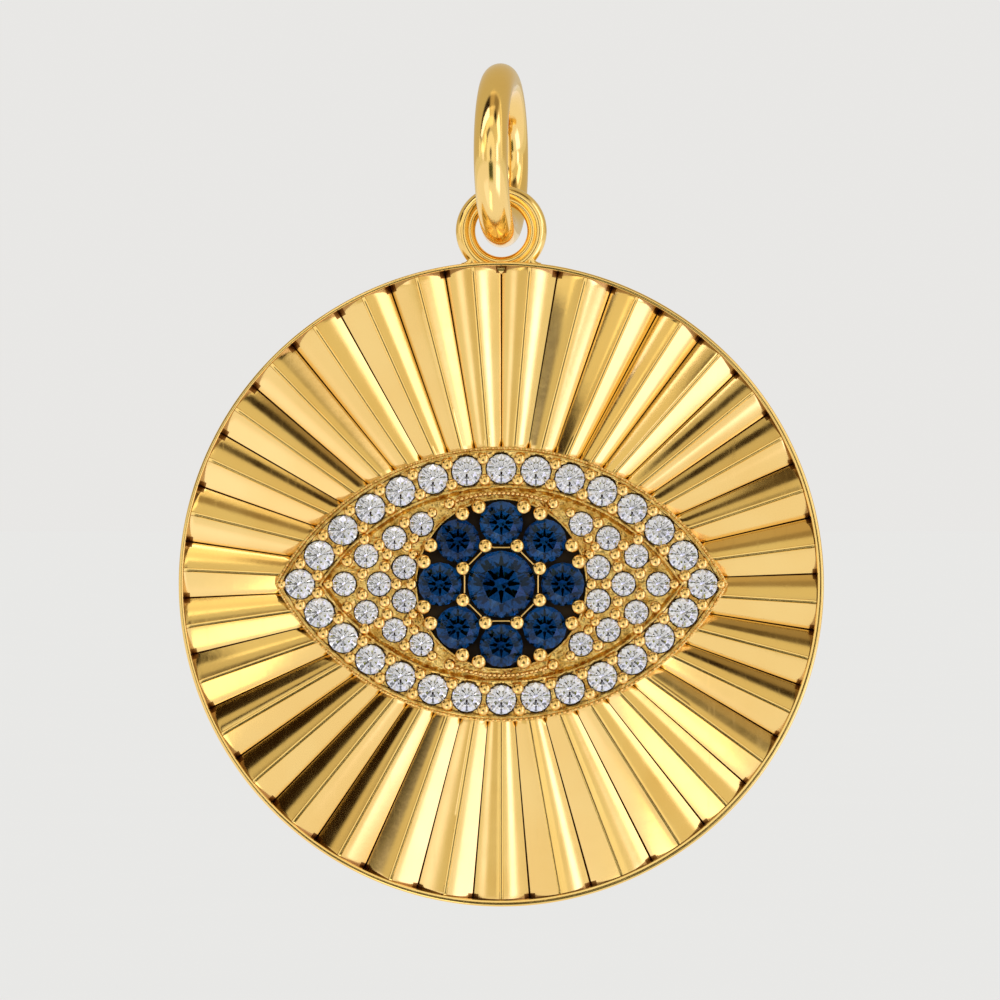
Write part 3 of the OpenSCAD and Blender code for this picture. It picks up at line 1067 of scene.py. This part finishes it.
    def build_plate(self) -> None:
        """Build and dress the plate, with painted shade in the iris recess and bright metal in the seats."""
        mesh = bmesh.new()
        self.lay_plate(mesh)
        self.draw_edge(mesh)
        close_shell(mesh)
        white = np.array([(s.x, s.y, s.radius) for s in self.white_seats()])
        for face in mesh.faces:
            middle = face.calc_center_median()
            if middle.z < self.floor_h - SIDE_DEPTH:
                continue
            # Faces in the iris recess take the painted shade
            if middle.xy.length < self.outline.iris_r + RECESS_SHADE_REACH:
                face.material_index = 1
            elif np.any(np.hypot(white[:, 0] - middle.x, white[:, 1] - middle.y) < white[:, 2]):
                face.material_index = 2
        add_piece(mesh, "eye_plate", 50.0, [SETTING_GOLD, PAINTED_RECESS_SHADE, SEAT_METAL])

    def build_lip(self) -> None:
        """Build and dress the thin lip round the iris."""
        mesh = bmesh.new()
        r = self.outline.iris_r
        top = self.band_top - self.corner_drop + LIP_RISE
        low = self.floor_h - SUNK
        section = [(r, low), *((r + out, top + rise) for out, rise in LIP), (r + LIP[-1][0], low)]
        spun_ring(mesh, section, LIP_STEPS)
        add_piece(mesh, "iris_lip", 40.0, [SETTING_GOLD])

    def add_head(self, mesh: Mesh, at: Point, girdle: float, wanted_d: float, lift: float) -> float:
        """Add the rounded head of a bead or prong, made smaller where a stone leaves less room.

        Args:
            mesh: Mesh that takes it.
            at: Its place in the eye.
            girdle: Height of the girdles of the stones that it holds.
            wanted_d: Its diameter where there is room.
            lift: Height of its middle above the girdles.

        Returns:
            Its radius.
        """
        x, y = at
        seats = self.white_seats() + self.sapphire_seats()
        gap = min(math.hypot(x - seat.x, y - seat.y) - seat.radius for seat in seats)
        r = min(wanted_d / 2.0, math.hypot(max(0.0, gap), lift) - HEAD_GAP)
        place = Matrix.Translation((x, y, girdle + lift)) @ FLATTEN
        bmesh.ops.create_icosphere(mesh, subdivisions=3, radius=r, matrix=place)
        return r

    def build_beads(self) -> None:
        """Build and dress the beads that hold the white stones."""
        mesh = bmesh.new()
        low = self.row_girdle - self.corner_drop
        for places, girdle in ((self.row_beads(), self.row_girdle), (self.corner_points(CORNER_BEADS), low)):
            for at in places:
                self.add_head(mesh, at, girdle, self.bead_d, BEAD_LIFT)
        add_piece(mesh, "setting_beads", 60.0, [BEAD_GOLD])

    def add_rod(self, mesh: Mesh, sides: int, radii: Point, length: float, place: Matrix) -> None:
        """Add a round rod, about its middle, with a number of sides and a radius at either end."""
        bmesh.ops.create_cone(
            mesh, cap_ends=True, segments=sides, radius1=radii[0], radius2=radii[1], depth=length,
            matrix=place,
        )

    def build_prongs(self) -> None:
        """Build and dress the prongs of the sapphires and the bars between the inner ones."""
        mesh = bmesh.new()
        low = self.floor_h - SUNK
        h = self.sapphire_girdle + PRONG_LIFT
        inner_r = self.centre_d / 2.0 + self.prong_d / 2.0 + INNER_GAP
        outer_r = self.outline.iris_r - OUTER_SHIFT * self.prong_d
        places = self.round_iris(inner_r, 0.5)
        for side in (-1, 1):
            places += self.round_iris(outer_r, 0.5, side * self.pair_turn)
        for at in places:
            r = self.add_head(mesh, at, self.sapphire_girdle, self.prong_d, PRONG_LIFT)
            place = Matrix.Translation((*at, (h + low) / 2.0))
            self.add_rod(mesh, 16, (TAPER[0] * r, TAPER[1] * r), h - low, place)
        middle = (self.centre_d / 2.0 + self.petal_ring_r - self.petal_d / 2.0) / 2.0
        length = 2.0 * inner_r * math.sin(math.pi / self.petal_count)
        lay = Matrix.Translation((middle, 0.0, self.sapphire_girdle)) @ Matrix.Rotation(QUARTER, 4, "X")
        for k in range(self.petal_count):
            place = Matrix.Rotation(QUARTER - k * FULL_TURN / self.petal_count, 4, "Z") @ lay
            self.add_rod(mesh, 12, (self.bar_r, self.bar_r), length, place)
        add_piece(mesh, "sapphire_prongs", 60.0, [BEAD_GOLD])

    def build_milgrain(self) -> None:
        """Build and dress the fine grains above and below the iris and along the outer step."""
        mesh = bmesh.new()
        arc_r, top_y, reach = GRAIN_ARC
        count = round(2.0 * reach / self.grain_pitch)
        ledge = self.outline.margin - self.edge_step / 2.0
        ledge_r = self.outline.row_r + ledge
        end = math.asin(self.outline.tip(ledge) / ledge_r)
        steps = round(2.0 * end * ledge_r / self.ledge_grain_pitch)
        grains = []
        for up in (-1, 1):
            for k in range(int(up < 0), steps + (up > 0)):
                x, y = self.outline.arc_point(end * (2.0 * k / steps - 1.0), ledge, up)
                h = self.band_top - self.edge_step + LEDGE_GRAIN_LIFT
                grains.append((x, y, h, self.ledge_grain_r))
            for k in range(count + 1):
                x = -reach + 2.0 * reach * k / count
                y = up * (top_y - arc_r + math.sqrt(arc_r * arc_r - x * x))
                grains.append((x, y, self.band_top + GRAIN_LIFT, self.grain_r))
        for *place, r in grains:
            bmesh.ops.create_icosphere(mesh, subdivisions=2, radius=r, matrix=Matrix.Translation(place))
        add_piece(mesh, "milgrain", 60.0, [BEAD_GOLD])

    def build(self) -> None:
        """Build and dress the whole setting."""
        self.build_plate()
        self.build_lip()
        self.build_beads()
        self.build_prongs()
        self.build_milgrain()


# Feet: drop of the fillet's start below the disc's top, reach inwards past the fillet, drop of the upper
# edge over that reach, and drop of the lower edge below the disc's top
FOOT_SUNK = 0.03
FOOT_REACH = 0.2
FOOT_DROP = 0.02
FOOT_DEPTH = 0.25


@dataclass
class Eyelet:
    """The fixed ring on top of the disc, of two wires side by side, and its feet.

    Args:
        hole_r: Radius of the hole.
        width: Width of the metal round it.
        wire_d: Diameter of the outer wire.
        lining_d: Diameter of the thin wire that lines the hole.
        base: Metal between the hole and the disc's edge.
        foot_r: Radius of the solder fillets.
        foot_share: Thickness of the feet, as a share of the outer wire's.
        foot_round: Size of the feet's rounded edges.
    """

    hole_r: float = 0.89
    width: float = 0.665
    wire_d: float = 0.5
    lining_d: float = 0.36
    base: float = 0.18
    foot_r: float = 0.28
    foot_share: float = 0.94
    foot_round: float = 0.08

    def build_wires(self, mesh: Mesh) -> None:
        """Spin the two wires and move them onto the disc's edge."""
        wire_ring(mesh, self.hole_r + self.width - self.wire_d / 2.0, self.wire_d / 2.0, 28, 128)
        wire_ring(mesh, self.hole_r + self.lining_d / 2.0, self.lining_d / 2.0, 24, 112)
        place = Matrix.Translation((0.0, DISC_R + self.base + self.hole_r, DISC_T / 2.0))
        bmesh.ops.transform(mesh, matrix=place, verts=mesh.verts)

    def build_foot(self, mesh: Mesh, side: int) -> None:
        """Build one solder fillet between the outer wire and the disc's edge.

        Args:
            mesh: Mesh that takes it.
            side: 1 on the right, -1 on the left.
        """
        half = self.hole_r + self.width / 2.0 + self.foot_r / 2.0
        start = mesh.verts.new((side * half, DISC_R - FOOT_SUNK, 0.0))
        arc = bmesh.ops.spin(
            mesh, geom=[start], cent=(side * half, DISC_R + self.foot_r - FOOT_SUNK, 0.0), axis=(0, 0, 1),
            angle=-side * QUARTER, steps=10,
        )
        end = pick(arc["geom_last"], Vert)[0]
        chain = [start]
        while chain[-1] is not end:
            others = [edge.other_vert(chain[-1]) for edge in chain[-1].link_edges]
            chain.append(next(vert for vert in others if vert not in chain))
        inner_x = side * (half - self.foot_r - FOOT_REACH)
        low_y = DISC_R - FOOT_DEPTH
        extra = [(inner_x, end.co.y - FOOT_DROP), (inner_x, low_y), (side * half, low_y)]
        outline = chain + [mesh.verts.new((x, y, 0.0)) for x, y in extra]
        face = mesh.faces.new(outline)
        face.normal_update()
        thick = self.wire_d * self.foot_share
        grown = pick(bmesh.ops.extrude_face_region(mesh, geom=[face])["geom"], Vert)
        bmesh.ops.translate(mesh, verts=grown, vec=(0.0, 0.0, thick))
        shape = {*grown, *outline}
        bmesh.ops.translate(mesh, verts=list(shape), vec=(0.0, 0.0, (DISC_T - thick) / 2.0))
        edges = [e for e in mesh.edges if e.verts[0] in shape and e.verts[1] in shape]
        rim = [e for e in edges if abs(e.verts[0].co.z - e.verts[1].co.z) < MERGE]
        bmesh.ops.bevel(
            mesh, geom=rim, offset=self.foot_round, offset_type="OFFSET", segments=4, profile=0.5,
            affect="EDGES", material=-1,
        )

    def build(self) -> None:
        """Build and dress the eyelet."""
        mesh = bmesh.new()
        self.build_wires(mesh)
        for side in (-1, 1):
            self.build_foot(mesh, side)
        bmesh.ops.recalc_face_normals(mesh, faces=mesh.faces)
        add_piece(mesh, "eyelet", 50.0, [POLISHED_GOLD])


@dataclass
class JumpRing:
    """The round ring that the chain runs through.

    Args:
        outer_d: Outer diameter.
        wire_d: Diameter of its wire.
        turn: Turn from edge-on, in degrees.
    """

    outer_d: float = 6.3
    wire_d: float = 1.15
    turn: float = 8.0

    def build(self) -> None:
        """Build and dress the ring, which stands for the CAD one."""
        mesh = bmesh.new()
        wire_ring(mesh, (self.outer_d - self.wire_d) / 2.0, self.wire_d / 2.0, 40, 144)
        turned = Matrix.Rotation(math.radians(-self.turn), 4, "Z") @ Matrix.Rotation(QUARTER, 4, "Y")
        stand = Matrix.Scale(MM, 4) @ Matrix.Translation((0.0, 0.0, RING_Z)) @ turned
        add_piece(mesh, "jump_ring_wire", 60.0, [POLISHED_GOLD], Body.RING, stand)


@dataclass
class Stones:
    """The cut stones, which stay as the CAD made them.

    Args:
        sapphires: Names of the sapphires' nodes.
        whites: Names of the white stones' nodes.
    """

    sapphires: tuple[str, ...] = ("sapphire_centre", *(f"sapphire_petal_{k}" for k in range(1, 9)))
    whites: tuple[str, ...] = ("outline_stones", "corner_stones")

    def dress(self) -> None:
        """Give each stone its finish."""
        for names, finish in ((self.sapphires, SAPPHIRE), (self.whites, WHITE_STONE)):
            for name in names:
                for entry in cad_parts[name].material_slots:
                    entry.material = finish.material()
                log.info("%s: dressed in %s", name, finish.name)


# Studio


@dataclass(frozen=True)
class SoftPanel:
    """A soft light in the surroundings, as a window of directions seen from the pendant.

    Args:
        turn: Its limits round the line straight ahead of the front, in degrees from the right.
        away: Its limits away from that line, in degrees.
        glow: Brightness.
        tone: Its colour.
        turn_soft: Width of its soft edges round the line, in degrees.
        away_soft: Width of its soft edges away from the line, in degrees.
    """

    turn: Point
    away: Point
    glow: float
    tone: Tone = Tone.PLAIN
    turn_soft: float = 14.0
    away_soft: float = 8.0


@dataclass(frozen=True)
class FloorStrip:
    """A part of the floor that reflections see lighter, or darker if its glow is below 0.

    Args:
        turn: Its limits round the pendant, in degrees from straight ahead.
        reach: Its limits away from the place under the pendant, in metres.
        glow: Brightness.
    """

    turn: Point
    reach: Point
    glow: float


# Power of a light for its area that makes it look as bright as a glow of 1
GLOW_POWER = 4.0


@dataclass(frozen=True)
class LightCard:
    """A small soft light beside the pendant, square to the line to the disc's middle.

    Args:
        turn: Its limits round the line straight ahead of the front, in degrees from the right.
        ahead: Its limits in front of the disc, in millimetres.
        glow: Brightness.
        tone: Its colour.
        reach: Distance from that line, in millimetres.
    """

    turn: Point
    ahead: Point
    glow: float
    tone: Tone = Tone.MILD
    reach: float = 22.0

    def build(self, name: str, front: Vector) -> None:
        """Place the light, which shows only in reflections.

        Args:
            name: Its name.
            front: Middle of the disc's front, in millimetres.
        """
        middle = math.radians(sum(self.turn) / 2.0)
        across = Vector((-math.sin(middle), 0.0, math.cos(middle)))
        outward = Vector((math.cos(middle), 0.0, math.sin(middle)))
        forward = Vector((0.0, -1.0, 0.0))
        data = bpy.data.lights.new(name, "AREA")
        data.shape = "RECTANGLE"
        data.size = 2.0 * self.reach * math.tan(math.radians(self.turn[1] - self.turn[0]) / 2.0) * MM
        data.size_y = (self.ahead[1] - self.ahead[0]) * MM
        data.energy = GLOW_POWER * data.size * data.size_y * self.glow
        data.color = self.tone.value
        light = bpy.data.objects.new(name, data)
        light.matrix_world = Matrix((across, forward, outward)).transposed().to_4x4()
        light.location = (outward * self.reach + forward * sum(self.ahead) / 2.0 + front) * MM
        light.visible_camera = False
        bpy.context.scene.collection.objects.link(light)


PANELS = (
    SoftPanel((-78, 200), (6.5, 28), 1.05, turn_soft=4, away_soft=5),
    SoftPanel((-200, -102), (6.5, 28), 1.05, turn_soft=4, away_soft=5),
    SoftPanel((-60, 20), (28, 84), 0.85),
    SoftPanel((-38, 14), (40, 51), 1.5, Tone.COOL),
    SoftPanel((12, 43), (52, 70), 1.2, Tone.CLEAR, turn_soft=8, away_soft=6),
    SoftPanel((20, 48), (28, 84), 0.78, Tone.MILD),
    SoftPanel((48, 102), (29, 47), 0.75, Tone.MILD, away_soft=4),
    SoftPanel((74, 102), (47, 56), 0.32, Tone.WARM, away_soft=4),
    SoftPanel((48, 78), (58, 84), 0.3, Tone.WARM, away_soft=5),
    SoftPanel((78, 102), (56, 84), 0.55, Tone.WARM, away_soft=4),
    SoftPanel((102, 154), (34, 48), 0.65, Tone.MILD, away_soft=3),
    SoftPanel((154, 200), (28, 46), 0.7, Tone.MILD),
    SoftPanel((166, 200), (46, 84), 0.85, turn_soft=8),
    SoftPanel((170, 200), (49, 58), 0.5, Tone.COOL),
    SoftPanel((-192, -140), (28, 46), 0.7, Tone.MILD),
    SoftPanel((-192, -140), (46, 84), 0.85),
    SoftPanel((-192, -140), (49, 58), 0.5, Tone.COOL),
    SoftPanel((-200, 200), (80, 200), 0.6, Tone.MILD, turn_soft=4),
)
STRIPS = (
    FloorStrip((-180, 180), (0, 0.4), 0.15),
    FloorStrip((36, 66), (0.085, 0.34), 0.9),
    FloorStrip((-62, -24), (0.035, 0.11), 0.2),
    FloorStrip((-14, 14), (0.105, 0.36), -0.9),
)
# Widths of a strip's soft edges round the pendant, in degrees, and away from it, in metres
STRIP_SOFT = (5.0, 0.03)
CARDS = (
    LightCard((96, 124), (5.5, 8.5), 1.3, Tone.FRESH),
    LightCard((112, 138), (8.5, 20), 0.65),
    LightCard((-117, -96), (11, 32), 0.95),
    LightCard((84, 112), (5.5, 12.5), 0.45),
)
# Greys of the paper's grain
PAPER = (0.1, 0.09)


@dataclass
class Studio:
    """Plain pale floor, soft surroundings and the camera.

    Args:
        view_w: Width of the view at the disc's front, in millimetres.
        middle_x: Middle of the view.
        middle_z: Middle of the view.
        lens: Focal length.
        sensor: Sensor width.
        front_y: Place of the disc's front.
        floor_z: Height of the floor.
        floor_front: Place of the floor's front edge, in metres.
        floor_half: Half of the floor's width, in metres.
        pale: Tone of the empty background.
        floor_tone: Tone of the floor.
        ambient: Light from where there is no panel.
    """

    view_w: float = 34.09
    middle_x: float = -0.044
    middle_z: float = -13.781
    lens: float = 200.0
    sensor: float = 36.0
    front_y: float = -0.65
    floor_z: float = -70.0
    floor_front: float = -0.35
    floor_half: float = 5.0
    pale: Colour = (0.81, 0.802, 0.786)
    floor_tone: Colour = (0.755, 0.757, 0.75)
    ambient: Colour = (0.02, 0.01, 0.004)

    def build_camera(self) -> None:
        """Place the camera straight in front of the disc."""
        data = bpy.data.cameras.new("camera")
        data.lens = self.lens
        data.sensor_width = self.sensor
        data.clip_start = 0.005
        data.clip_end = 10.0
        camera = bpy.data.objects.new("camera", data)
        away = self.lens / self.sensor * self.view_w
        camera.location = (self.middle_x * MM, (self.front_y - away) * MM, self.middle_z * MM)
        camera.rotation_euler = (QUARTER, 0.0, 0.0)
        bpy.context.scene.collection.objects.link(camera)
        bpy.context.scene.camera = camera

    def floor_paper(self) -> Material:
        """Make the floor's paper, which reflections see with its lighter and darker strips."""
        paper = bpy.data.materials.new("floor_paper")
        paper.use_nodes = True
        paper.node_tree.nodes.clear()
        sketch = Sketch(paper.node_tree)
        place = sketch.add("ShaderNodeTexCoord")["Object"]
        parts = sketch.add("ShaderNodeSeparateXYZ", {"Vector": place})
        turn = sketch.math("ARCTAN2", parts["X"], sketch.math("MULTIPLY", parts["Y"], -1.0))
        under = {0: place, 1: (0.0, 0.0, self.floor_z * MM)}
        reach = sketch.add("ShaderNodeVectorMath", under, operation="DISTANCE")["Value"]
        glossy = sketch.add("ShaderNodeLightPath")["Is Glossy Ray"]
        turn_soft, reach_soft = STRIP_SOFT
        total = self.floor_tone
        for strip in STRIPS:
            wide = sketch.window(turn, strip.turn, turn_soft, DEGREE)
            shape = sketch.math("MULTIPLY", wide, sketch.window(reach, strip.reach, reach_soft))
            mirrored = sketch.math("MULTIPLY", shape, glossy)
            total = sketch.glow(mirrored, Tone.COOL.times(strip.glow), total)
        light = sketch.add("ShaderNodeVectorMath", {0: total, 1: (0.0, 0.0, 0.0)}, operation="MAXIMUM")
        grain = sketch.add("ShaderNodeTexNoise", {"Vector": place, "Scale": 30.0, "Detail": 2.0})["Fac"]
        tones = {6 + k: (grey, grey, grey, 1.0) for k, grey in enumerate(PAPER)}
        tint = sketch.add("ShaderNodeMix", {0: grain, **tones}, data_type="RGBA")
        surface = {"Base Color": tint[2], "Roughness": 0.9, "Specular IOR Level": 0.0}
        glow = {"Emission Color": light["Vector"], "Emission Strength": 1.0}
        shader = sketch.add("ShaderNodeBsdfPrincipled", {**surface, **glow})
        sketch.add("ShaderNodeOutputMaterial", {"Surface": shader["BSDF"]})
        return paper

    def build_floor(self) -> None:
        """Lay a wide pale floor under the pendant."""
        mesh = bmesh.new()
        place = Matrix.Translation((0.0, self.floor_front + self.floor_half, self.floor_z * MM))
        bmesh.ops.create_grid(mesh, x_segments=1, y_segments=1, size=self.floor_half, matrix=place)
        data = bpy.data.meshes.new("floor")
        mesh.to_mesh(data)
        mesh.free()
        data.materials.append(self.floor_paper())
        floor = bpy.data.objects.new("floor", data)
        bpy.context.scene.collection.objects.link(floor)

    def build_surroundings(self) -> None:
        """Make the surroundings: soft panels for the light, and a plain pale tone for the camera."""
        world = bpy.data.worlds.new("surroundings")
        world.use_nodes = True
        world.node_tree.nodes.clear()
        sketch = Sketch(world.node_tree)
        place = sketch.add("ShaderNodeTexCoord")["Generated"]
        parts = sketch.add("ShaderNodeSeparateXYZ", {"Vector": place})
        turn = sketch.math("ARCTAN2", parts["Z"], parts["X"])
        away = sketch.math("ARCCOSINE", sketch.math("MULTIPLY", parts["Y"], -1.0))
        total = self.ambient
        for panel in PANELS:
            wide = sketch.window(turn, panel.turn, panel.turn_soft, DEGREE)
            deep = sketch.window(away, panel.away, panel.away_soft, DEGREE)
            total = sketch.glow(sketch.math("MULTIPLY", wide, deep), panel.tone.times(panel.glow), total)
        light = sketch.add("ShaderNodeBackground", {"Color": total, "Strength": 1.0})
        seen = sketch.add("ShaderNodeBackground", {"Color": (*self.pale, 1.0), "Strength": 1.0})
        camera_ray = sketch.add("ShaderNodeLightPath")["Is Camera Ray"]
        views = {0: camera_ray, 1: light["Background"], 2: seen["Background"]}
        shader = sketch.add("ShaderNodeMixShader", views)["Shader"]
        sketch.add("ShaderNodeOutputWorld", {"Surface": shader})
        bpy.context.scene.world = world

    def build(self) -> None:
        """Build the camera, the floor, the surroundings and the light cards."""
        self.build_camera()
        self.build_floor()
        self.build_surroundings()
        front = Vector((0.0, self.front_y, DISC_Z))
        for number, card in enumerate(CARDS, 1):
            card.build(f"card_{number}", front)
        bpy.context.scene.view_settings.view_transform = "Standard"
        log.info("studio: camera, floor, surroundings and %d light cards", len(CARDS))


def main() -> None:
    """Build the pendant piece by piece, then the studio."""
    logging.basicConfig(level=logging.INFO, format="%(name)s: %(message)s")
    outline = Outline()
    PleatedDisc(outline).build()
    EyeSetting(outline).build()
    Eyelet().build()
    JumpRing().build()
    Stones().dress()
    Studio().build()


if __name__ == "__main__":
    main()
